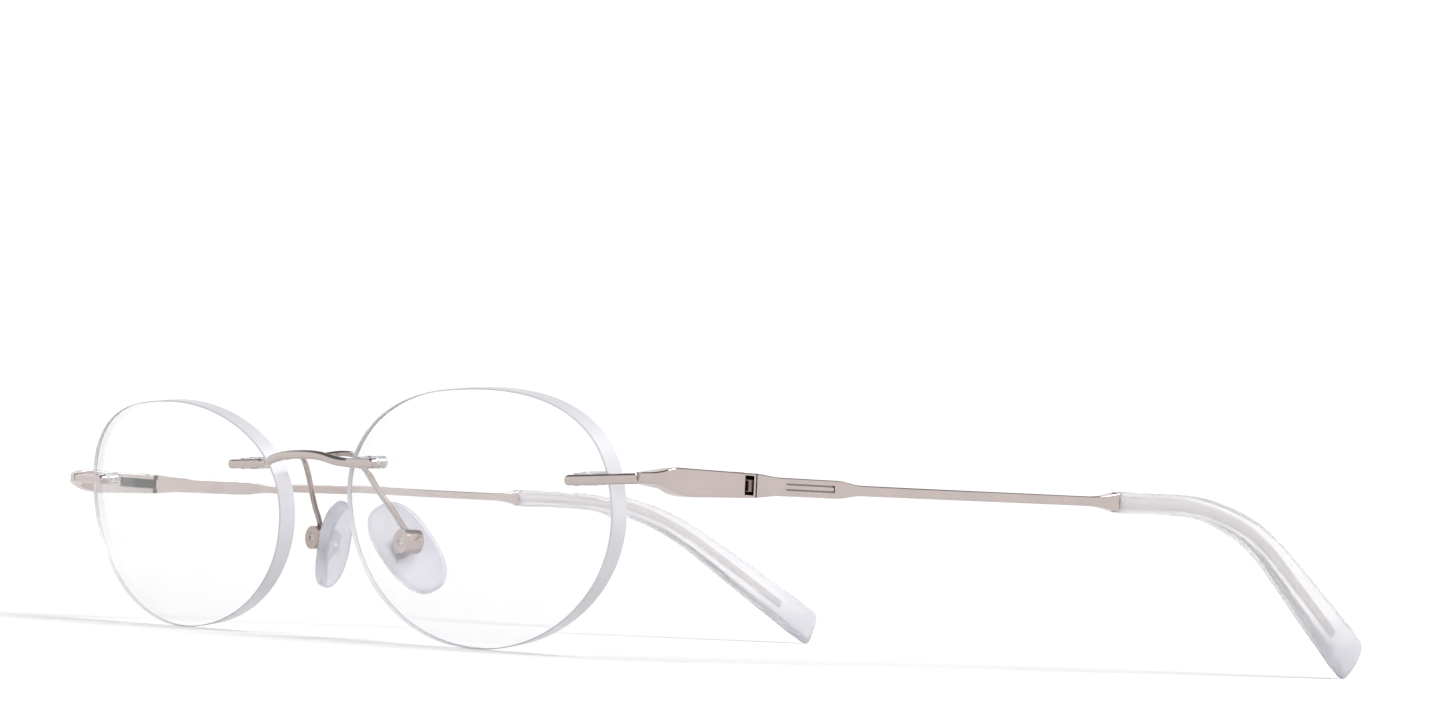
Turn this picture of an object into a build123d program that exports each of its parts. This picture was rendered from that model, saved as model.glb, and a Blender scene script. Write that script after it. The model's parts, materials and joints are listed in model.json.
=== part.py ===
from build123d import *
import math
import os

os.makedirs("parts", exist_ok=True)

# Rimless eyeglasses, millimetres. +X is the wearer's left, +Y runs back along the temples,
# +Z is up, and the glasses stand on Z = 0 on the lens bottoms and the temple tips.
# Everything is drawn for the wearer's left half with Y = 0 at the lens fronts. The right
# half is its mirror image, and "shift_y" then centres the whole object on the origin.

# ---- driving dimensions ----------------------------------------------------------------
lens_temporal_reach = 25.3
lens_nasal_reach = 26.1
bridge_width = 15.9
lens_top = 14.4
lens_bottom = 17.6
lens_widest_v = 1.2
corner_fullness = {"upper_temporal": 2.55, "upper_nasal": 2.06,
                   "lower_nasal": 2.1, "lower_temporal": 2.0}
lens_front_radius = 140.0
lens_back_radius = 124.0
lens_centre_thickness = 2.2
lens_tilt = 9.8
lens_wrap = 1.6
lens_edge_break = 0.15
lens_blank_depth = 9.0
outline_steps = 56
lens_break_drop = 0.023
lens_front_y = 0.1

bar_height = 1.25
bar_thickness = 1.0
bar_dome = 0.38
post_radius = 0.45
post_end = 0.25
bushing_radius = 0.75
bushing_head = 0.9
bushing_head_rim = 0.05
bushing_head_round = 0.3
bushing_stand_off = 0.42
slip_fit = 0.02
drill_length = 12.0
nasal_u = -20.6
nasal_v = 6.6
nasal_bar_length = 7.0
nasal_post_gap = 2.9
bridge_stations = 24
arch_root = 0.55
arch_slimming = 0.03
arch_points = [(7.6, -0.6, 22.95), (5.4, -0.8, 23.4), (0.0, -0.95, 23.75)]
temporal_u = 21.7
temporal_v = 4.35
temporal_bar_inner = 2.6
temporal_post_gap = 2.9
crease_reach = 8.2
crease_notch_radius = 0.5
crease_notch_height = 1.3
crease_notch_tip = 0.02
crease_lift = 0.25

endpiece_outer_x = 67.9
endpiece_thickness = 2.2
endpiece_rise = 1.46
endpiece_drop = 1.4
endpiece_corner_round = 2.4
endpiece_corner_fill = 0.6
endpiece_edge_round = 0.22
bar_overlap = 0.9
flare_start_y = 2.2
flare_end_y = 5.4
flare_top_step = 0.13
belly = [(9.5, 0.43), (5.2, 0.2)]
hinge_z = 20.95
hinge_gap_y = 17.5
hinge_gap = 0.2
hinge_axis_y = 15.75
hinge_pin_radius = 0.5
hinge_fit = 0.04
barrel_radius = 0.8
tongue_thickness = 1.0
tongue_height = 1.3
slot_height = 1.4
slot_front_y = 11.2
slot_floor = 0.2
window_y = 16.475
window_size = (1.6, 1.45, 2.3)
heel_width = 0.85
counterbore_depth = 0.25
counterbore_radius = 0.8
screw_head_proud = 0.05
screw_slot = (2.0, 0.22, 0.3)

temple_rise = 1.83
temple_lift = 0.05
temple_edge_round = 0.2
tongue_root = 0.6
collar_y = 87.2
# The temple bar's half height at each distance back, after the hinge gap.
temple_stations = [(20.6, 1.17), (22.2, 1.1), (33.2, 1.1), (38.2, 0.65), (82.0, 0.65),
                   (collar_y, 1.22)]
# The temple bar's outer and inner faces seen from above, after the hinge block.
temple_outer = [(67.5, 22.0), (66.15, 31.0), (65.1, 40.0), (64.75, 60.0), (64.95, 80.0),
                (65.9, collar_y)]
temple_inner = [(63.75, collar_y), (63.9, 80.0), (63.75, 60.0), (64.05, 40.0), (64.95, 31.0),
                (65.85, 24.0)]
hinge_block_end_y = 20.4
hinge_block_step = (0.05, 0.8)
tip_start_x = 64.83
tip_end = (58.9, 153.6, 2.48)
tip_corner = (64.4, 115.1, 24.1)
tip_bend_radius = 52.0
tip_start_height = 2.9
tip_end_height = 6.8
tip_start_thickness = 2.8
tip_end_thickness = 2.5
core_height = 1.3
core_thickness = 0.9
core_round = 0.3
core_part = 0.872
ring_length = 0.9
ring_half_thickness = 1.12
ring_half_height = 1.2
groove_y = 27.8
groove_length = 9.6
groove_width = 0.2
groove_depth = 0.3
groove_lift = 0.33
tip_lead = 0.6
tip_clear = 0.06
tip_end_round = 2.0
tip_mouth_slimming = 0.94
socket_lead = 0.1
inner_gap = 0.04

pad_length = 13.7
pad_width = 7.0
pad_thickness = 1.9
pad_fullness = 2.5
pad_round = 0.6
pad_centre = Vector(9.05, 11.65, 12.37)
pad_up = Vector(-0.553, -0.321, 0.769)
pad_splay = 20.0
pad_box_distance = 2.4
pad_box_gap = 0.3
pad_box_radius = 1.6
pad_box_length = 2.5
pad_box_slot = 1.3
pad_box_room = 1.0
pad_box_mouth = 2.3
pad_tab_thickness = 1.2
pad_tab_radius = 0.85
pad_tab_sunk = 0.1
saddle_size = (0.7, 0.95, 0.95)
saddle_lift = 0.75
insert_plate = (2.4, 3.0, 0.5)
insert_shift = (-1.0, 0.4, 0.0)
pad_screw_radius = 0.4
pad_screw_head = 0.55
pad_screw_seat = 0.25
pad_screw_slot = (2.0, 0.3, 0.2)
wire_radius = 0.38
wire_points = [(3.4, -0.6, 23.4), (4.6, 1.3, 23.9), (6.2, 3.4, 23.95), (7.3, 4.95, 23.0),
               (8.4, 6.8, 20.0), (9.65, 8.7, 17.0)]
wire_foot = Vector(-0.4, -0.1, 1.15)

shift_y = -76.62


# ---- helpers ---------------------------------------------------------------------------
def along(a, b, part):
    """A value part of the way from a to b."""
    return a + (b - a) * part


def ease(value):
    """A smooth step from 0 to 1."""
    value = min(1.0, max(0.0, value))
    return value * value * (3.0 - 2.0 * value)


def unit(vector):
    return vector.normalized()


def oval(angle, half_width, half_height, fullness):
    """A point of a superellipse."""
    power = 2.0 / fullness
    c = math.cos(angle)
    s = math.sin(angle)
    return (math.copysign(half_width * abs(c) ** power, c),
            math.copysign(half_height * abs(s) ** power, s))


def long_edges(shape, least):
    return [edge for edge in shape.edges() if edge.length > least]


def largest(shape):
    """The biggest solid that a cut leaves."""
    pieces = shape.solids() if hasattr(shape, "solids") else ShapeList(shape)
    return pieces.sort_by(SortBy.VOLUME)[-1]


def solid_of(shape):
    """The one solid that a boolean result holds."""
    solids = shape.solids()
    assert len(solids) == 1, len(solids)
    return solids[0]


# ---- lens ------------------------------------------------------------------------------
lens_x = bridge_width / 2.0 + lens_nasal_reach


def outline_point(angle):
    """A point of the lens outline: four superelliptic quarters about the widest line."""
    level = "upper" if math.sin(angle) >= 0 else "lower"
    side = "temporal" if math.cos(angle) >= 0 else "nasal"
    half_height = lens_top if level == "upper" else lens_bottom
    reach = lens_temporal_reach if side == "temporal" else lens_nasal_reach
    u, v = oval(angle, reach, half_height, corner_fullness[level + "_" + side])
    return (u, v + lens_widest_v)


def outline():
    """Points evenly spaced in angle all round the lens outline."""
    return [outline_point(2.0 * math.pi * k / outline_steps) for k in range(outline_steps)]


def front_depth(u, v):
    """How far back the lens front has curved at (u, v)."""
    return lens_front_radius - math.sqrt(lens_front_radius ** 2 - u * u - v * v)


lens_turn = Rot(X=lens_tilt) * Rot(Z=lens_wrap)
lowest = min((lens_turn * Pos(u, front_depth(u, v), v)).position.Z for u, v in outline())
lens_place = Pos(lens_x, lens_front_y, -lowest - lens_break_drop) * lens_turn


def mount_plane(u, v):
    """The plane tangent to the lens front at (u, v): X along the bar, Z out of the lens."""
    point = Vector(u, front_depth(u, v), v)
    out = unit(point - Vector(0, lens_front_radius, 0))
    level = unit(out.cross(Vector(0, 0, 1)))
    if level.X < 0:
        level = level * -1.0
    local = Plane(origin=point, x_dir=level, z_dir=out)
    return Plane(lens_place * local.location)


nasal = mount_plane(nasal_u, nasal_v)
temporal = mount_plane(temporal_u, temporal_v)


def post_spots(plane, gap):
    """The two post positions of a mount, as locations."""
    return [plane.location * Pos(-gap / 2.0, 0, 0), plane.location * Pos(gap / 2.0, 0, 0)]


all_spots = post_spots(nasal, nasal_post_gap) + post_spots(temporal, temporal_post_gap)


def make_lens():
    with BuildSketch(Plane.XZ) as sketch:
        with BuildLine():
            Spline(*outline(), periodic=True)
        make_face()
    prism = extrude(sketch.sketch, amount=lens_blank_depth, both=True)
    front = Pos(0, lens_front_radius, 0) * Sphere(lens_front_radius)
    back_y = lens_centre_thickness + lens_back_radius
    back = Pos(0, back_y, 0) * Sphere(lens_back_radius)
    lens = (prism & front) - back
    rim = long_edges(lens, lens_top + lens_bottom)
    lens = lens_place * chamfer(rim, lens_edge_break)
    for spot in all_spots:
        lens = lens - spot * Cylinder(bushing_radius, drill_length)
    return solid_of(lens)


# ---- lens mounts -----------------------------------------------------------------------
def make_posts():
    """Round posts brazed to the back of the bars, one through each bushing barrel."""
    length = lens_centre_thickness + bushing_head + post_end
    post = Pos(0, 0, -length / 2.0) * Cylinder(post_radius, length)
    return [spot * post for spot in all_spots]


def make_bushing(plane, gap):
    """A clear double barrel: two sleeves in the lens joined by a head behind it."""
    reach = lens_centre_thickness + bushing_stand_off
    with BuildSketch() as head:
        SlotCenterToCenter(gap, 2.0 * (bushing_radius + bushing_head_rim))
    body = Pos(0, 0, -reach - bushing_head) * extrude(head.sketch, amount=bushing_head)
    back = body.faces().sort_by(Axis.Z)[0]
    body = fillet(back.edges(), bushing_head_round)
    for sign in (-1, 1):
        sleeve = Pos(sign * gap / 2.0, 0, -reach / 2.0)
        body = body + sleeve * Cylinder(bushing_radius - slip_fit, reach)
    for sign in (-1, 1):
        bore = Pos(sign * gap / 2.0, 0, 0)
        body = body - bore * Cylinder(post_radius + slip_fit, drill_length)
    return solid_of(plane.location * body)


def bar_on(plane, x_start, x_end):
    """A flat-backed, domed bar lying on a mount plane, with round ends."""
    length = x_end - x_start
    with BuildSketch() as outline:
        SlotOverall(length, bar_height)
    bar = extrude(outline.sketch, amount=bar_thickness)
    front = bar.faces().sort_by(Axis.Z)[-1]
    bar = fillet(front.edges(), bar_dome)
    return plane.location * Pos((x_start + x_end) / 2.0, 0, 0) * bar


# ---- bridge ----------------------------------------------------------------------------
def make_bridge():
    half = nasal_bar_length / 2.0
    bar = bar_on(nasal, -half, half)
    joint = nasal.location * Pos(-half + arch_root, 0, bar_thickness / 2.0)
    run = unit(nasal.x_dir) * -1.0
    points = [joint.position] + [Vector(*point) for point in arch_points]
    far_side = [Vector(-p.X, p.Y, p.Z) for p in reversed(points[:-1])]
    path = Spline(*(points + far_side), tangents=[run, Vector(run.X, -run.Y, -run.Z)])
    sections = []
    for k in range(bridge_stations + 1):
        part = k / bridge_stations
        with BuildSketch(Plane(origin=path @ part, x_dir=(0, 0, 1), z_dir=path % part)) as section:
            Ellipse(bar_height / 2.0 - arch_slimming, bar_thickness / 2.0)
        sections.append(section.sketch.faces()[0])
    arch = loft(sections).solids()[0]
    return solid_of(arch + bar + mirror(bar, about=Plane.YZ))


# ---- endpiece --------------------------------------------------------------------------
endpiece_inner_x = endpiece_outer_x - endpiece_thickness
hinge_location = Pos(endpiece_inner_x + barrel_radius, hinge_axis_y, hinge_z)
endpiece_tall = 8.0
screw_seat = endpiece_rise - counterbore_depth
past = 2.0
bar_run = unit(temporal.x_dir)


def endpiece_plan():
    """The endpiece seen from above: bar thickness at the corner, then a straight block."""
    corner = temporal.location.position + bar_run * crease_reach
    out = unit(temporal.z_dir)
    slope = bar_run.Y / bar_run.X
    front = corner + out * bar_thickness
    outer_corner_y = front.Y + (endpiece_outer_x - front.X) * slope
    back_y = corner.Y + (endpiece_inner_x - corner.X) * slope
    outer = [(front.X, front.Y), (endpiece_outer_x, outer_corner_y),
             (endpiece_outer_x, hinge_gap_y), (endpiece_inner_x, hinge_gap_y),
             (endpiece_inner_x, back_y + endpiece_corner_fill), (corner.X, corner.Y)]
    with BuildSketch() as sketch:
        with BuildLine():
            Polyline(*outer, close=True)
        make_face()
        rounded = sketch.vertices().sort_by_distance((endpiece_outer_x, outer_corner_y))[0]
        fillet(rounded, endpiece_corner_round)
    return extrude(Pos(0, 0, hinge_z - endpiece_tall / 2.0) * sketch.sketch, amount=endpiece_tall)


def endpiece_side():
    """The endpiece seen from the side: it flares at the corner and sags a little below."""
    bar_z = (temporal.location.position + bar_run * crease_reach).Z
    front_y = temporal.location.position.Y - bar_thickness
    upper = bar_z + bar_height / 2.0
    lower = bar_z - bar_height / 2.0
    top = hinge_z + endpiece_rise
    bottom = hinge_z - endpiece_drop
    flare_top = (flare_end_y, top - flare_top_step)
    sag = [(y, bottom - drop) for y, drop in belly]
    with BuildSketch(Plane.YZ) as sketch:
        with BuildLine():
            Line((front_y, lower), (front_y, upper))
            Line((front_y, upper), (flare_start_y, upper))
            Spline((flare_start_y, upper), flare_top, tangents=[(1, 0), (1, 0.011)])
            Line(flare_top, (hinge_gap_y, top))
            Line((hinge_gap_y, top), (hinge_gap_y, bottom))
            Spline((hinge_gap_y, bottom), *sag, (flare_start_y, lower),
                   tangents=[(-1, -0.07), (-1, 0)])
            Line((flare_start_y, lower), (front_y, lower))
        make_face()
    return extrude(sketch.sketch, amount=endpiece_outer_x + past)


def make_endpiece():
    block = endpiece_plan() & endpiece_side()
    block = fillet(long_edges(block, 8.0), endpiece_edge_round)
    bar = bar_on(temporal, -temporal_bar_inner, crease_reach + bar_overlap)
    body = bar + block

    crease = temporal.location * Pos(crease_reach + bar_overlap / 2.0, crease_lift, bar_thickness)
    notch = Cone(crease_notch_tip, crease_notch_radius, crease_notch_height)
    body = body - crease * Rot(X=-90) * notch

    slot_length = hinge_gap_y - slot_front_y
    slot_depth = endpiece_thickness - slot_floor
    slot = Pos(endpiece_inner_x + slot_depth / 2.0, slot_front_y + slot_length / 2.0, hinge_z)
    open_ended = Pos(-past / 2.0, past / 2.0, 0)
    body = body - slot * open_ended * Box(slot_depth + past, slot_length + past, slot_height)
    window = Pos(endpiece_outer_x, window_y, hinge_z)
    body = body - window * Box(*window_size)
    heel = Pos(endpiece_inner_x, hinge_gap_y, hinge_z) * Rot(Z=45)
    body = body - heel * Box(heel_width, heel_width, endpiece_tall)
    body = body - hinge_location * Cylinder(hinge_pin_radius, endpiece_tall)
    counterbore = hinge_location * Pos(0, 0, screw_seat + endpiece_tall / 2.0)
    body = body - counterbore * Cylinder(counterbore_radius, endpiece_tall)
    return solid_of(body)


def make_hinge_screw():
    """A pin screw from the top: slotted head in its counterbore, shank through the block."""
    shank_length = screw_seat + endpiece_drop
    shank = Pos(0, 0, screw_seat - shank_length / 2.0) * Cylinder(hinge_pin_radius, shank_length)
    head_height = counterbore_depth + screw_head_proud
    head = Pos(0, 0, screw_seat + head_height / 2.0)
    head = head * Cylinder(counterbore_radius - inner_gap, head_height)
    screw = shank + head
    screw = screw - Pos(0, 0, endpiece_rise + 2.0 * screw_head_proud) * Box(*screw_slot)
    return solid_of(hinge_location * screw)


# ---- temple ----------------------------------------------------------------------------
temple_front_y = hinge_gap_y + hinge_gap
rise = math.tan(math.radians(temple_rise))


def temple_centre_z(y):
    return hinge_z + temple_lift + (y - temple_front_y) * rise


def temple_side():
    """The temple bar seen from the side, from its hinge block to the flare at the tip."""
    half_gap = (endpiece_rise + endpiece_drop) / 2.0
    stations = [(temple_front_y, half_gap)] + temple_stations
    upper = [(y, temple_centre_z(y) + half) for y, half in stations]
    lower = [(y, temple_centre_z(y) - half) for y, half in stations]
    level = (1.0, rise)
    with BuildSketch(Plane.YZ) as sketch:
        with BuildLine():
            for rail in (upper, lower):
                lift = 1.0 if rail is upper else -1.0
                Line(rail[0], rail[1])
                Spline(rail[1], rail[2], tangents=[(1.0, rise - lift * 0.09), level])
                Line(rail[2], rail[3])
                Spline(rail[3], rail[4], tangents=[level, level])
                Line(rail[4], rail[5])
                Spline(rail[5], rail[6], tangents=[level, (1.0, rise + lift * 0.2)])
            Line(upper[0], lower[0])
            Line(upper[-1], lower[-1])
        make_face()
    return extrude(sketch.sketch, amount=endpiece_outer_x + past)


def temple_plan():
    """The temple bar seen from above: thick at the hinge, then a slim, slightly bowed bar."""
    step = (endpiece_inner_x + hinge_block_step[0], hinge_block_end_y + hinge_block_step[1])
    block_end = (endpiece_inner_x, hinge_block_end_y)
    with BuildSketch() as sketch:
        with BuildLine():
            outer = Spline((endpiece_outer_x, temple_front_y), *temple_outer,
                           tangents=[(0, 1), (0.35, 1.0)])
            Line(outer @ 1, temple_inner[0])
            Spline(*temple_inner, step, tangents=[(0.15, -1.0), (-0.05, -1.0)])
            Line(step, block_end)
            Line(block_end, (endpiece_inner_x, temple_front_y))
            Line((endpiece_inner_x, temple_front_y), outer @ 0)
        make_face()
    return extrude(sketch.sketch, amount=2.0 * hinge_z)


def tip_path():
    """The centreline of wire and tip, from just inside the collar to the tip's end."""
    y = collar_y - tip_lead
    start = Vector(tip_start_x, y, temple_centre_z(y))
    return FilletPolyline(start, Vector(*tip_corner), Vector(*tip_end), radius=tip_bend_radius)


path_of_tip = tip_path()
tip_across = unit((Vector(*tip_corner) - path_of_tip @ 0).cross(path_of_tip % 1))
tip_length = path_of_tip.length - tip_lead


def tip_plane(distance):
    """The plane square to the centreline so far behind the collar, X across the tip."""
    part = (distance + tip_lead) / path_of_tip.length
    return Plane(origin=path_of_tip @ part, x_dir=tip_across, z_dir=path_of_tip % part)


def make_core(grow=0.0):
    """The flat wire that runs from the collar into the clear tip."""
    run = path_of_tip.trim(0.0, core_part + grow / tip_length)
    with BuildSketch(Plane(origin=run @ 0, x_dir=tip_across, z_dir=run % 0)) as section:
        RectangleRounded(core_thickness + 2.0 * grow, core_height + 2.0 * grow, core_round)
    return sweep(section.sketch, path=run).solids()[0]


def make_temple():
    body = temple_side() & temple_plan()
    body = fillet(long_edges(body, 9.0), temple_edge_round)

    tongue_back = temple_front_y + tongue_root
    tongue_length = tongue_back - hinge_axis_y
    barrel = hinge_location * Cylinder(barrel_radius, tongue_height)
    plate = Pos(endpiece_inner_x + tongue_thickness / 2.0, hinge_axis_y + tongue_length / 2.0, hinge_z)
    body = body + barrel + plate * Box(tongue_thickness, tongue_length, tongue_height)
    body = body - hinge_location * Cylinder(hinge_pin_radius + hinge_fit, endpiece_tall)

    inward = Pos(-groove_depth, 0, 0) * body
    for line in groove_lines():
        body = body - (line - inward)
    return solid_of(body + make_core())


def groove_lines():
    """The narrow U on the outer face, open towards the hinge: two rails and an end stop."""
    place = Pos(endpiece_outer_x, groove_y, temple_centre_z(groove_y)) * Rot(X=temple_rise)
    rail = Box(2.0 * endpiece_thickness, groove_length, groove_width)
    stop = Box(2.0 * endpiece_thickness, groove_width, 2.0 * groove_lift + groove_width)
    upper = place * Pos(0, 0, groove_lift) * rail
    lower = place * Pos(0, 0, -groove_lift) * rail
    return [upper, lower, place * Pos(0, (groove_length - groove_width) / 2.0, 0) * stop]


# ---- temple tip ------------------------------------------------------------------------
def tip_size(part):
    """Thickness and height of the clear tip at a part of its length, with a round end."""
    thickness = along(tip_start_thickness, tip_end_thickness, part)
    height = along(tip_start_height, tip_end_height, ease((part - 0.12) / 0.85))
    left = (1.0 - part) * tip_length / tip_end_round
    if left < 1.0:
        round_off = (1.0 - (1.0 - left) ** 2.6) ** (1.0 / 2.6)
        thickness = thickness * round_off
        height = height * along(0.72, 1.0, round_off)
    return thickness, height


def make_ring():
    """The slim ring between the collar and the clear tip."""
    with BuildSketch(tip_plane(tip_clear)) as section:
        Ellipse(ring_half_thickness, ring_half_height)
    ring = extrude(section.sketch, amount=ring_length)
    return solid_of(ring - make_core(inner_gap))


def make_tip():
    body_parts = [0.08 + 0.088 * k for k in range(11)]
    parts = [0.0, 0.012] + body_parts + [0.972, 0.981, 0.989, 0.995, 0.9985]
    sections = []
    for part in parts:
        thickness, height = tip_size(part)
        slimmer = tip_mouth_slimming if part == 0.0 else 1.0
        with BuildSketch(tip_plane(along(tip_clear, tip_length, part))) as section:
            Ellipse(thickness * slimmer / 2.0, height * slimmer / 2.0)
        sections.append(section.sketch.faces()[0])
    sleeve = loft(sections).solids()[0]
    with BuildSketch(tip_plane(-socket_lead)) as section:
        Ellipse(ring_half_thickness + inner_gap, ring_half_height + inner_gap)
    socket = extrude(section.sketch, amount=socket_lead + tip_clear + ring_length + inner_gap)
    return solid_of(sleeve - (make_core(inner_gap) + socket))


# ---- nose pads -------------------------------------------------------------------------
pad_up = unit(pad_up)
splay = math.radians(pad_splay)
pad_out = Vector(math.cos(splay), -math.sin(splay), 0)
pad_out = unit(pad_out - pad_up * pad_out.dot(pad_up))
pad_back = unit(pad_up.cross(pad_out))
pad_plane = Plane(origin=pad_centre, x_dir=pad_back, z_dir=pad_out)
box_centre = pad_centre + pad_out * pad_box_distance
box_place = Pos(*tuple(box_centre))
tab_run = unit(Vector(-pad_out.X, 0, -pad_out.Z))
tab_turn = -math.degrees(math.atan2(tab_run.Z, tab_run.X))


def make_tab(grow=0.0):
    """The insert's lug: a flat plate square to Y, from the screw into the pad."""
    far = tab_run * (pad_box_distance - pad_tab_sunk)
    radius = pad_tab_radius + grow
    with BuildSketch(Plane.XZ) as sketch:
        with Locations(Location((far.X / 2.0, far.Z / 2.0), -tab_turn)):
            SlotCenterToCenter(far.length, 2.0 * radius)
    lug = extrude(sketch.sketch, amount=pad_tab_thickness / 2.0 + grow, both=True)
    return box_place * lug


def make_insert(grow=0.0):
    """A lug on a small anchor plate that is moulded into the pad."""
    plate_at = pad_plane.offset(pad_tab_sunk).location * Pos(*insert_shift)
    plate = plate_at * Box(*(side + 2.0 * grow for side in insert_plate))
    insert = plate + make_tab(grow)
    if grow:
        return insert
    bore = box_place * Rot(X=90) * Cylinder(pad_screw_radius + hinge_fit, drill_length)
    return solid_of(insert - bore)


def make_pad():
    outline = [oval(2.0 * math.pi * k / outline_steps, pad_width / 2.0, pad_length / 2.0,
                    pad_fullness) for k in range(outline_steps)]
    with BuildSketch(pad_plane.offset(-pad_thickness / 2.0)) as sketch:
        with BuildLine():
            Spline(*outline, periodic=True)
        make_face()
    pad = extrude(sketch.sketch, amount=pad_thickness)
    pad = fillet(long_edges(pad, 2.0 * pad_length), pad_round)
    keep_out = make_insert(inner_gap)
    return solid_of(pad - keep_out)


def make_pad_box():
    """A cup with two round cheeks that hold the screw, and a web that joins them outside."""
    clip = Rot(X=90) * Cylinder(pad_box_radius, pad_box_length)
    room = Rot(X=90) * Cylinder(pad_box_room, pad_box_slot)
    mouth = Pos(*tuple(tab_run * pad_box_radius)) * Rot(Y=tab_turn)
    room = room + mouth * Box(2.0 * pad_box_radius, pad_box_slot, pad_box_mouth)
    clip = clip - room
    saddle = Pos(pad_box_radius, 0, saddle_lift) * Rot(X=45)
    clip = clip - saddle * Box(*saddle_size)
    seat = Pos(0, pad_screw_seat - (pad_box_length + past) / 2.0, 0) * Rot(X=90)
    clip = clip - seat * Cylinder(pad_screw_head + inner_gap, past)
    clip = box_place * (clip - Rot(X=90) * Cylinder(pad_screw_radius, drill_length))
    cut_plane = pad_plane.offset(pad_thickness / 2.0 + pad_box_gap)
    pad_side = cut_plane.location * Pos(0, 0, -pad_width) * Box(pad_length, pad_length, 2.0 * pad_width)
    return solid_of(clip - pad_side)


def make_pad_screw():
    """The screw through both ears, its slotted head sunk in the front ear."""
    front = -pad_box_length / 2.0
    head_height = pad_screw_seat - inner_gap
    head = Pos(0, front + pad_screw_seat - head_height / 2.0, 0) * Rot(X=90)
    shank_length = pad_box_length - pad_screw_seat - 2.0 * inner_gap
    shank = Pos(0, front + pad_screw_seat + shank_length / 2.0, 0) * Rot(X=90)
    screw = head * Cylinder(pad_screw_head, head_height)
    screw = screw + shank * Cylinder(pad_screw_radius, shank_length)
    screw = screw - Pos(0, front, 0) * Box(*pad_screw_slot)
    return solid_of(box_place * screw)


def make_pad_arm(bridge, clip):
    """A bent wire from behind the bridge to the top of the pad box."""
    points = [Vector(*point) for point in wire_points] + [box_centre + wire_foot]
    path = Spline(*points, tangents=[(0.35, 1.0, 0.2), (0.4, 0.5, -0.9)])
    with BuildSketch(Plane(origin=path @ 0, z_dir=path % 0)) as section:
        Circle(wire_radius)
    wire = sweep(section.sketch, path=path).solids()[0]
    wire = largest(wire - bridge)
    return largest(wire - clip)


# ---- assembly --------------------------------------------------------------------------
def mirrored(shape):
    return mirror(shape, about=Plane.YZ)


def write(name, shapes):
    """One STEP file for a node, moved so that the object is centred on the origin."""
    moved = [Pos(0, shift_y, 0) * shape for shape in shapes]
    node = moved[0] if len(moved) == 1 else Compound(children=moved)
    node.label = name
    export_step(node, "parts/" + name + ".step")


bridge = make_bridge()
pad_box = make_pad_box()
left_half = {
    "lens": make_lens(),
    "pad_box": pad_box,
    "pad_arm": make_pad_arm(bridge, pad_box),
    "nose_pad": make_pad(),
    "pad_insert": make_insert(),
    "endpiece": make_endpiece(),
    "temple": make_temple(),
    "tip_ring": make_ring(),
    "temple_tip": make_tip(),
}
for name, shape in left_half.items():
    write(name + "_left", [shape])
    write(name + "_right", [mirrored(shape)])

posts = make_posts()
bushings = [make_bushing(nasal, nasal_post_gap), make_bushing(temporal, temporal_post_gap)]
pad_screw = make_pad_screw()
hinge_screw = make_hinge_screw()
write("bridge", [bridge])
write("lens_posts", posts + [mirrored(post) for post in posts])
write("lens_bushings", bushings + [mirrored(bushing) for bushing in bushings])
write("pad_screws", [pad_screw, mirrored(pad_screw)])
write("hinge_screws", [hinge_screw, mirrored(hinge_screw)])
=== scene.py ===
"""Looks for the rimless eyeglasses: clear lenses, satin metal, silicone pads and clear tips."""
import json
import math

import bpy
from mathutils import Matrix, Vector


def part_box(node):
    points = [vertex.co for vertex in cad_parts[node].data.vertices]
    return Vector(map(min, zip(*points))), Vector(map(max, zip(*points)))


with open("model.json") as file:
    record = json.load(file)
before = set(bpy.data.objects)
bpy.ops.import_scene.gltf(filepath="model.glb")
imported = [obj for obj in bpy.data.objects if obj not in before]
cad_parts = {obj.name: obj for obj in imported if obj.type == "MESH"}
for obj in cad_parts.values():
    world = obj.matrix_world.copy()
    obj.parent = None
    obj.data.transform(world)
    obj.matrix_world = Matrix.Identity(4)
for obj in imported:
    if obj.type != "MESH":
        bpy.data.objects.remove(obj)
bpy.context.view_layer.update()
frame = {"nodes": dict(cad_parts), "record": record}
nodes = frame["nodes"]
scene = bpy.context.scene
MM = 0.001

# ---- camera ----------------------------------------------------------------------------
CAMERA_PLACE = (0.2937, -0.2727, 0.0078)
CAMERA_AZIMUTH = 47.5
CAMERA_ELEVATION = -5.1
CAMERA_ROLL = 2.82
CAMERA_LENS = 66.35
CAMERA_SENSOR = 36.0
CAMERA_NEAR = 0.01

# ---- light and floor -------------------------------------------------------------------
HORIZON_LIGHT = 1.08
HORIZON_STOP = 0.36
OVERHEAD_LIGHT = 0.18
OVERHEAD_STOP = 0.62
OVERHEAD_BLUE = 1.02
KEY_STRENGTH = 2.85
KEY_SPREAD = 42.0
KEY_TOWARDS = (0.62, 0.22, 1.0)
FLOOR_ALBEDO = 0.885
FLOOR_HALF = 6.0
FLOOR_DROP = 0.00002

# ---- noise -----------------------------------------------------------------------------
# Most of a noise texture's values lie between these two.
NOISE_LOW = 0.3
NOISE_HIGH = 0.7

# ---- metals ----------------------------------------------------------------------------
METAL_COLOUR = (0.545, 0.470, 0.450)
# A darker copy of the frame metal for the pad arms and boxes: painted shade for the thin wire's
# darker reflections.
PAD_METAL_SHADED_COLOUR = (0.470, 0.395, 0.370)
SCREW_COLOUR = (0.52, 0.49, 0.47)
INSERT_COLOUR = (0.95, 0.945, 0.945)
RING_COLOUR = (0.47, 0.42, 0.48)
CORE_COLOUR = (0.74, 0.65, 0.60)
# Near black for painted shade: in the hinge recesses, in the temple's groove and low on the lens
# rim.
PAINTED_SHADE_COLOUR = (0.045, 0.032, 0.026)
GRAIN_ALONG_X = (0.06, 1.0, 1.0)
GRAIN_ALONG_Y = (1.0, 0.06, 1.0)
GRAIN_STRENGTH = 0.05
GRAIN_DEPTH = 0.00001
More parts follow.
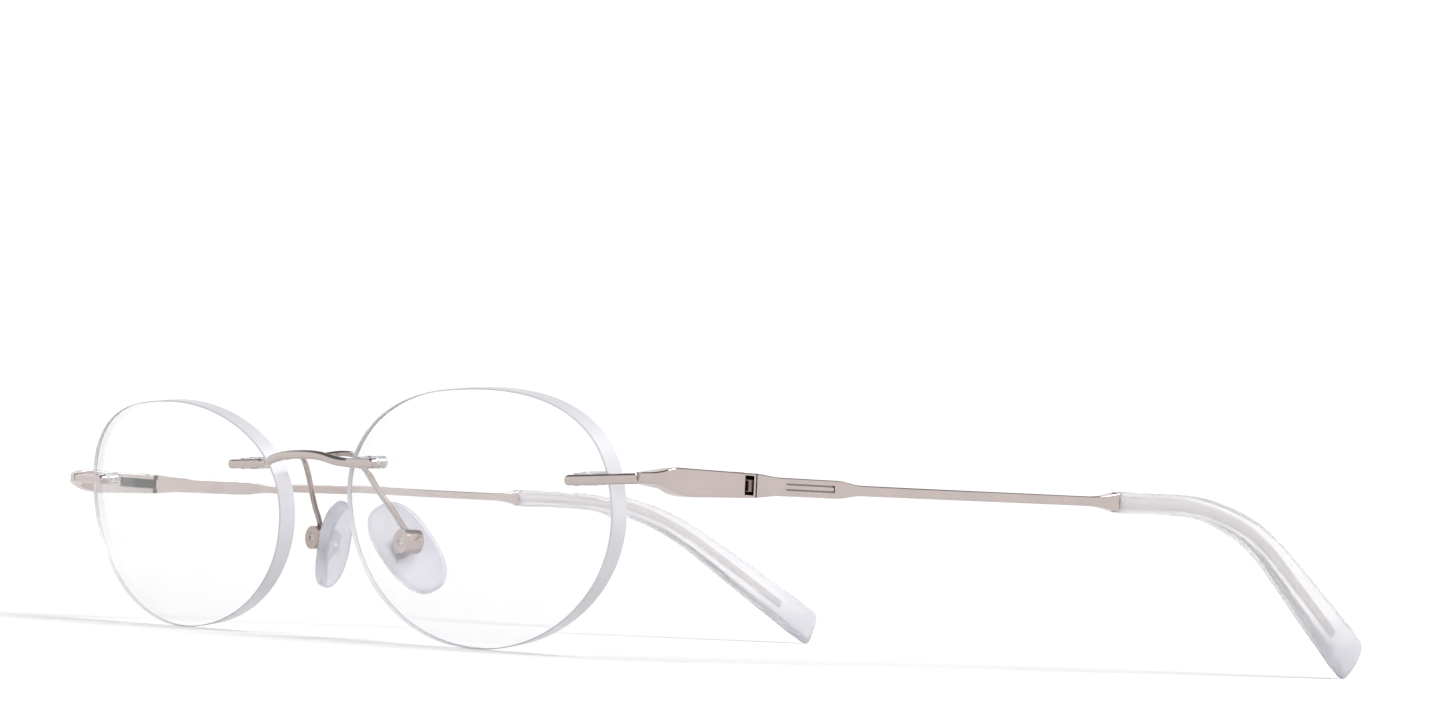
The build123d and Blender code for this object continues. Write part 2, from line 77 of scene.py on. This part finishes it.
# Recesses at the hinge that get painted shade, in millimetres from the middle of the left hinge
# pin.
HINGE_SLOT_SHADE = ((-0.9, -4.6, -0.72), (1.35, 1.66, 0.72))
HINGE_WINDOW_SHADE = ((0.55, -0.02, -1.17), (1.35, 1.47, 1.17))
HINGE_TONGUE_SHADE = ((-0.9, -1.0, -0.72), (1.35, 1.7, 0.72))
# The temple's groove, which gets painted shade on its rails and end stop, in millimetres: its
# middle from the pin, and its size.
GROOVE_PLACE = (-0.45, 12.05, 0.373)
GROOVE_REACH = 4.8
GROOVE_LIFT = 0.33
GROOVE_HALF = 0.11
# How dark the painted shade on the groove is.
GROOVE_SHADE = 0.62
TEMPLE_RISE = 1.83
OUTER_SLOPE = 0.136

# ---- clear materials -------------------------------------------------------------------
LENS_INDEX = 1.50
LENS_TILT = 9.8
LENS_LAMP_TINT = (0.50, 0.50, 0.51)
FACE_COLOUR = (0.995, 0.995, 0.998)
EDGE_COLOUR = (0.70, 0.69, 0.725)
EDGE_TRANSMISSION = 0.12
EDGE_ROUGHNESS = 0.35
# The bevel's darker grey is painted shade: a thin dark outline between the rim and the faces.
BEVEL_SHADE_COLOUR = (0.58, 0.57, 0.61)
# How squarely a point faces along the lens axis: 0 on the rim and 1 on the faces.
EDGE_UP_TO = 0.50
BEVEL_STRETCH = (0.58, 0.82)
FACE_FROM = 0.92
GROUND_BELOW = 0.85
POLISH_STARTS = 0.80
POLISH_FULL = 0.90
# Painted shade: a slightly darker stretch of the rim, low down near the floor, in metres above the
# floor.
EDGE_LOW_SHADE = 0.10
EDGE_LOW_TOP = (0.0105, 0.0075)
EDGE_LOW_BOTTOM = (0.0030, 0.0055)

TIP_INDEX = 1.47
# Heights in metres above the floor: the tip is darker and less clear below the first, lighter and
# clearer above the second.
TIP_DARKER_BELOW = 0.004
TIP_CLEAR_ABOVE = 0.010
TIP_LOWER_COLOURS = ((0.67, 0.655, 0.70), (0.72, 0.705, 0.75))
TIP_CLEAR_COLOURS = ((0.92, 0.91, 0.935), (0.97, 0.965, 0.98))
TIP_LOWER_TRANSMISSION = 0.50
TIP_CLEAR_TRANSMISSION = 0.72
TIP_LAMP_TINT = (0.12, 0.12, 0.125)

SILICONE_INDEX = 1.41
SILICONE_TRANSMISSION = 0.62
SILICONE_LAMP_TINT = (0.80, 0.79, 0.82)
NYLON_INDEX = 1.45
NYLON_TRANSMISSION = 0.92
NYLON_LAMP_TINT = (0.9, 0.9, 0.9)


def add_camera():
    data = bpy.data.cameras.new("camera")
    data.lens = CAMERA_LENS
    data.sensor_width = CAMERA_SENSOR
    data.clip_start = CAMERA_NEAR
    camera = bpy.data.objects.new("camera", data)
    scene.collection.objects.link(camera)
    turn = Matrix.Rotation(math.radians(CAMERA_AZIMUTH), 4, "Z")
    tip = Matrix.Rotation(math.radians(90.0 - CAMERA_ELEVATION), 4, "X")
    roll = Matrix.Rotation(math.radians(CAMERA_ROLL), 4, "Z")
    camera.matrix_world = Matrix.Translation(CAMERA_PLACE) @ turn @ tip @ roll
    scene.camera = camera


def add_floor():
    """A wide pale floor that fades into the bright surroundings."""
    mesh = bpy.data.meshes.new("floor")
    corners = [(-FLOOR_HALF, -FLOOR_HALF), (FLOOR_HALF, -FLOOR_HALF),
               (FLOOR_HALF, FLOOR_HALF), (-FLOOR_HALF, FLOOR_HALF)]
    mesh.from_pydata([(x, y, -FLOOR_DROP) for x, y in corners], [], [(0, 1, 2, 3)])
    floor = bpy.data.objects.new("floor", mesh)
    scene.collection.objects.link(floor)
    tree = Tree.named("floor_white")
    tree.surface("Base Color", (FLOOR_ALBEDO, FLOOR_ALBEDO, FLOOR_ALBEDO, 1.0))
    tree.surface("Roughness", 1.0)
    tree.surface("Specular IOR Level", 0.0)
    mesh.materials.append(tree.material)


def add_light():
    """A white sky, dimmer overhead, and a large soft key from the right and behind."""
    world = bpy.data.worlds.new("studio")
    scene.world = world
    world.use_nodes = True
    tree = world.node_tree
    background = tree.nodes["Background"]
    where = tree.nodes.new("ShaderNodeTexCoord")
    split = tree.nodes.new("ShaderNodeSeparateXYZ")
    tree.links.new(where.outputs["Generated"], split.inputs[0])
    ramp = tree.nodes.new("ShaderNodeValToRGB")
    tree.links.new(split.outputs["Z"], ramp.inputs["Fac"])
    horizon, overhead = ramp.color_ramp.elements
    horizon.position = HORIZON_STOP
    horizon.color = (HORIZON_LIGHT, HORIZON_LIGHT, HORIZON_LIGHT, 1.0)
    overhead.position = OVERHEAD_STOP
    overhead.color = (OVERHEAD_LIGHT, OVERHEAD_LIGHT, OVERHEAD_LIGHT * OVERHEAD_BLUE, 1.0)
    tree.links.new(ramp.outputs["Color"], background.inputs["Color"])

    data = bpy.data.lights.new("key", "SUN")
    data.energy = KEY_STRENGTH
    data.angle = math.radians(KEY_SPREAD)
    key = bpy.data.objects.new("key", data)
    scene.collection.objects.link(key)
    key.rotation_euler = Vector(KEY_TOWARDS).to_track_quat("Z", "Y").to_euler()


class Tree:
    """A material's node tree, with short calls for what these materials share."""

    def __init__(self, material):
        self.material = material
        self.tree = material.node_tree
        self.shader = self.tree.nodes["Principled BSDF"]
        self.output = self.tree.nodes["Material Output"]

    @classmethod
    def named(cls, name):
        """The tree of a new material."""
        material = bpy.data.materials.new(name)
        material.use_nodes = True
        return cls(material)

    def feed(self, socket, value):
        """Links a value that varies to a socket, or sets a constant one."""
        if isinstance(value, bpy.types.NodeSocket):
            self.tree.links.new(value, socket)
        else:
            socket.default_value = value

    def surface(self, socket, value):
        self.feed(self.shader.inputs[socket], value)

    def node(self, kind, **sockets):
        made = self.tree.nodes.new(kind)
        for name, value in sockets.items():
            self.feed(made.inputs[name.replace("_", " ")], value)
        return made

    def math(self, operation, *values):
        made = self.node("ShaderNodeMath")
        made.operation = operation
        for socket, value in zip(made.inputs, values):
            self.feed(socket, value)
        return made.outputs[0]

    def place(self):
        """The X, Y and Z outputs of the object coordinates."""
        where = self.node("ShaderNodeTexCoord")
        return self.node("ShaderNodeSeparateXYZ", Vector=where.outputs["Object"]).outputs

    def noise(self, scale, stretch=(1, 1, 1), detail=3.0):
        """A noise value in object coordinates, stretched by a scale per axis."""
        where = self.node("ShaderNodeTexCoord")
        mapping = self.node("ShaderNodeMapping", Vector=where.outputs["Object"], Scale=stretch)
        texture = self.node("ShaderNodeTexNoise", Vector=mapping.outputs["Vector"],
                            Scale=scale, Detail=detail)
        return texture.outputs["Fac"]

    def ranged(self, value, start, end, low=0.0, high=1.0):
        """A value mapped from start and end to low and high."""
        made = self.node("ShaderNodeMapRange", Value=value, From_Min=start, From_Max=end,
                         To_Min=low, To_Max=high)
        return made.outputs["Result"]

    def spread(self, noise, low, high):
        """A noise value mapped to low to high."""
        return self.ranged(noise, NOISE_LOW, NOISE_HIGH, low, high)

    def ramp(self, value, first, last, between=()):
        """A colour by a value. Each stop is a position and a colour."""
        made = self.node("ShaderNodeValToRGB", Fac=value)
        stops = made.color_ramp.elements
        for stop, (position, colour) in zip((stops[0], stops[1]), (first, last)):
            stop.position = position
            stop.color = (*colour, 1.0)
        for position, colour in between:
            stops.new(position).color = (*colour, 1.0)
        return made.outputs["Color"]

    def tint(self, noise, low, high):
        """A colour between two, by a noise value."""
        return self.ramp(noise, (NOISE_LOW, low), (NOISE_HIGH, high))

    def mixed(self, amount, first, second, blend="MIX"):
        """Two colours mixed by an amount."""
        made = self.node("ShaderNodeMixRGB", Fac=amount, Color1=first, Color2=second)
        made.blend_type = blend
        return made.outputs["Color"]

    def paint_shade(self, colour, amount):
        """The colour with painted shade mixed in: a near black where the amount is 1."""
        return self.mixed(amount, colour, (*PAINTED_SHADE_COLOUR, 1.0))

    def within(self, low, high):
        """1 inside a box in object coordinates, mirrored in X, and 0 outside."""
        place = self.place()
        inside = None
        for axis, least, most in zip("XYZ", low, high):
            value = self.math("ABSOLUTE", place[axis]) if axis == "X" else place[axis]
            near = self.math("COMPARE", value, (least + most) / 2.0, (most - least) / 2.0)
            inside = near if inside is None else self.math("MULTIPLY", inside, near)
        return inside

    def bump(self, value, strength, distance):
        made = self.node("ShaderNodeBump", Strength=strength, Distance=distance, Height=value)
        self.surface("Normal", made.outputs["Normal"])

    def let_lamps_through(self, tint):
        """Rays from the lamps pass through clear parts, as through thin glass."""
        path = self.node("ShaderNodeLightPath")
        clear = self.node("ShaderNodeBsdfTransparent", Color=(*tint, 1.0))
        mix = self.node("ShaderNodeMixShader", Fac=path.outputs["Is Shadow Ray"])
        self.feed(mix.inputs[1], self.shader.outputs["BSDF"])
        self.feed(mix.inputs[2], clear.outputs["BSDF"])
        self.feed(self.output.inputs["Surface"], mix.outputs["Shader"])


# ---- places on the frame ---------------------------------------------------------------
def hinge_pin():
    """Where the left temple's hinge axis passes the middle of its hinge."""
    for joint in frame["record"]["behaviour"]["joints"]:
        if joint["name"] == "temple_left_fold":
            return Vector(joint["pos_m"])


def at_hinge(box):
    """The low and high corners of a box given from the hinge pin."""
    return [hinge_pin() + Vector(corner) * MM for corner in box]


# ---- metals ----------------------------------------------------------------------------
def satin_metal(name, colour, rough_low, rough_high, grain=(1, 1, 1), shaded_recesses=()):
    """Plated metal: slight mottling, fine grain along the part, uneven polish, and painted shade
    in the given recesses.
    """
    tree = Tree.named(name)
    tree.surface("Metallic", 1.0)
    mottling = tree.noise(240.0, detail=2.0)
    shade = tree.tint(mottling, [c * 0.97 for c in colour], [c * 1.03 for c in colour])
    # Painted shade: near black inside each given recess box.
    for shaded_recess in shaded_recesses:
        shade = tree.paint_shade(shade, tree.within(*at_hinge(shaded_recess)))
    tree.surface("Base Color", shade)
    polish = tree.noise(1500.0, grain, detail=4.0)
    tree.surface("Roughness", tree.spread(polish, rough_low, rough_high))
    tree.bump(tree.noise(9000.0, grain, detail=2.0), GRAIN_STRENGTH, GRAIN_DEPTH)
    return tree.material


def groove_lines(tree, place):
    """1 where painted shade goes on the groove of the temple's outer face, two rails and an end
    stop, and 0 elsewhere.
    """
    middle = hinge_pin() + Vector(GROOVE_PLACE) * MM
    slope = math.tan(math.radians(TEMPLE_RISE))
    along = tree.math("SUBTRACT", place["Y"], middle.y)
    level = tree.math("ADD", tree.math("MULTIPLY", along, slope), middle.z)
    lift = tree.math("ABSOLUTE", tree.math("SUBTRACT", place["Z"], level))
    rails = tree.math("MULTIPLY",
                      tree.math("COMPARE", lift, GROOVE_LIFT * MM, GROOVE_HALF * MM),
                      tree.math("COMPARE", along, 0.0, GROOVE_REACH * MM))
    stop_place = (GROOVE_REACH - GROOVE_HALF) * MM
    stop = tree.math("MULTIPLY",
                     tree.math("LESS_THAN", lift, (GROOVE_LIFT + GROOVE_HALF) * MM),
                     tree.math("COMPARE", along, stop_place, GROOVE_HALF * MM))
    out = tree.math("ADD", tree.math("ABSOLUTE", place["X"]),
                    tree.math("MULTIPLY", along, OUTER_SLOPE))
    return tree.math("MULTIPLY", tree.math("MAXIMUM", rails, stop),
                     tree.math("GREATER_THAN", out, middle.x))


def temple_metal():
    """The temple's metal, with painted shade in its groove and on its hinge tongue, and a brighter
    wire inside the tip.
    """
    tree = Tree(satin_metal("temple_metal", METAL_COLOUR, 0.16, 0.24, GRAIN_ALONG_Y,
                            [HINGE_TONGUE_SHADE]))
    place = tree.place()
    shade = tree.shader.inputs["Base Color"].links[0].from_socket
    # Painted shade along the groove's rails and end stop.
    groove_shade = tree.math("MULTIPLY", groove_lines(tree, place), GROOVE_SHADE)
    shade = tree.paint_shade(shade, groove_shade)
    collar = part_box("tip_ring_left")[0][1]
    inside_tip = tree.ranged(place["Y"], collar, collar + MM)
    tree.surface("Base Color", tree.mixed(inside_tip, shade, (*CORE_COLOUR, 1.0)))
    return tree.material


# ---- clear materials -------------------------------------------------------------------
def lens_glass():
    """Clear coated plastic faces, and a finely ground edge that shows as a pale band, with painted
    shade as a dark outline on the bevel and low down on the rim.
    """
    tree = Tree.named("clear_lens")
    tree.surface("IOR", LENS_INDEX)
    normal = tree.node("ShaderNodeTexCoord").outputs["Normal"]
    facing = tree.node("ShaderNodeVectorMath")
    facing.operation = "DOT_PRODUCT"
    tilt = math.radians(LENS_TILT)
    tree.feed(facing.inputs[0], normal)
    tree.feed(facing.inputs[1], (0.0, math.cos(tilt), math.sin(tilt)))
    square_on = tree.math("ABSOLUTE", facing.outputs["Value"])

    tree.surface("Transmission Weight",
                 tree.ranged(square_on, POLISH_STARTS, POLISH_FULL, EDGE_TRANSMISSION, 1.0))
    tree.surface("Roughness",
                 tree.ranged(square_on, POLISH_STARTS, POLISH_FULL, EDGE_ROUGHNESS, 0.0))

    # The rim's pale colour, painted shade on the bevel, and the clear faces.
    bands_and_bevel_shade = tree.ramp(square_on, (EDGE_UP_TO, EDGE_COLOUR), (FACE_FROM, FACE_COLOUR),
                      [(position, BEVEL_SHADE_COLOUR) for position in BEVEL_STRETCH])
    streaks = tree.tint(tree.noise(500.0, (1.0, 0.15, 1.0)), (0.98, 0.978, 0.984), (1.0, 1.0, 1.0))
    colour = tree.mixed(1.0, bands_and_bevel_shade, streaks, "MULTIPLY")
    height = tree.place()["Z"]
    # Painted shade on the ground rim, low down near the floor.
    low_shade_band = tree.math("MULTIPLY", tree.ranged(height, *EDGE_LOW_TOP),
                         tree.ranged(height, *EDGE_LOW_BOTTOM))
    ground = tree.math("LESS_THAN", square_on, GROUND_BELOW)
    amount = tree.math("MULTIPLY", tree.math("MULTIPLY", low_shade_band, ground), EDGE_LOW_SHADE)
    tree.surface("Base Color", tree.paint_shade(colour, amount))
    tree.let_lamps_through(LENS_LAMP_TINT)
    return tree.material


def tip_acetate():
    """Clear acetate, faintly lilac-grey, darker and less clear lower down, with slow flow lines.
    """
    tree = Tree.named("tip_acetate")
    tree.surface("IOR", TIP_INDEX)
    flow = tree.noise(90.0, (1.0, 0.25, 0.25), detail=2.0)
    tree.surface("Roughness", tree.spread(flow, 0.0, 0.02))
    height = tree.place()["Z"]
    clearer = tree.ranged(height, TIP_DARKER_BELOW, TIP_CLEAR_ABOVE)
    tree.surface("Base Color", tree.mixed(clearer, tree.tint(flow, *TIP_LOWER_COLOURS),
                                          tree.tint(flow, *TIP_CLEAR_COLOURS)))
    tree.surface("Transmission Weight",
                 tree.ranged(height, TIP_DARKER_BELOW, TIP_CLEAR_ABOVE,
                             TIP_LOWER_TRANSMISSION, TIP_CLEAR_TRANSMISSION))
    tree.let_lamps_through(TIP_LAMP_TINT)
    return tree.material


def silicone():
    """Soft clear silicone, a little milky and slightly matt."""
    tree = Tree.named("pad_silicone")
    tree.surface("Transmission Weight", SILICONE_TRANSMISSION)
    tree.surface("IOR", SILICONE_INDEX)
    cloud = tree.noise(420.0)
    tree.surface("Base Color", tree.tint(cloud, (0.66, 0.65, 0.705), (0.74, 0.73, 0.78)))
    tree.surface("Roughness", tree.spread(cloud, 0.08, 0.18))
    tree.bump(tree.noise(2600.0, detail=2.0), 0.06, 0.00003)
    tree.let_lamps_through(SILICONE_LAMP_TINT)
    return tree.material


def bushing_nylon():
    """Clear nylon with a faint cloudiness."""
    tree = Tree.named("clear_bushing")
    tree.surface("Transmission Weight", NYLON_TRANSMISSION)
    tree.surface("IOR", NYLON_INDEX)
    cloud = tree.noise(900.0, detail=2.0)
    tree.surface("Base Color", tree.tint(cloud, (0.93, 0.93, 0.94), (0.985, 0.985, 0.985)))
    tree.surface("Roughness", tree.spread(cloud, 0.04, 0.12))
    tree.let_lamps_through(NYLON_LAMP_TINT)
    return tree.material


# ---- which node gets which material ----------------------------------------------------
def paint(names, material):
    """Gives a material to CAD nodes, in place of the ones they came with."""
    for name in names:
        mesh = nodes[name].data
        mesh.materials.clear()
        mesh.materials.append(material)


def both(*stems):
    return [stem + side for stem in stems for side in ("_left", "_right")]


def add_materials():
    # Painted shade in the endpiece's hinge slot and window.
    paint(both("endpiece"), satin_metal("satin_metal", METAL_COLOUR, 0.16, 0.24, GRAIN_ALONG_Y,
                                        [HINGE_SLOT_SHADE, HINGE_WINDOW_SHADE]))
    paint(both("temple"), temple_metal())
    paint(["bridge"], satin_metal("bridge_metal", METAL_COLOUR, 0.12, 0.20, GRAIN_ALONG_X))
    # Pad arms and boxes get painted shade, as a darker copy of the frame metal.
    paint(both("pad_arm", "pad_box"), satin_metal("pad_metal", PAD_METAL_SHADED_COLOUR, 0.20, 0.28))
    paint(["pad_screws", "hinge_screws", "lens_posts"],
          satin_metal("screw_steel", SCREW_COLOUR, 0.2, 0.32))
    paint(both("pad_insert"), satin_metal("insert_metal", INSERT_COLOUR, 0.45, 0.6))
    paint(both("tip_ring"), satin_metal("ring_metal", RING_COLOUR, 0.3, 0.42))
    paint(both("lens"), lens_glass())
    paint(both("temple_tip"), tip_acetate())
    paint(both("nose_pad"), silicone())
    paint(["lens_bushings"], bushing_nylon())


add_camera()
add_floor()
add_light()
add_materials()
scene.view_settings.view_transform = "Standard"
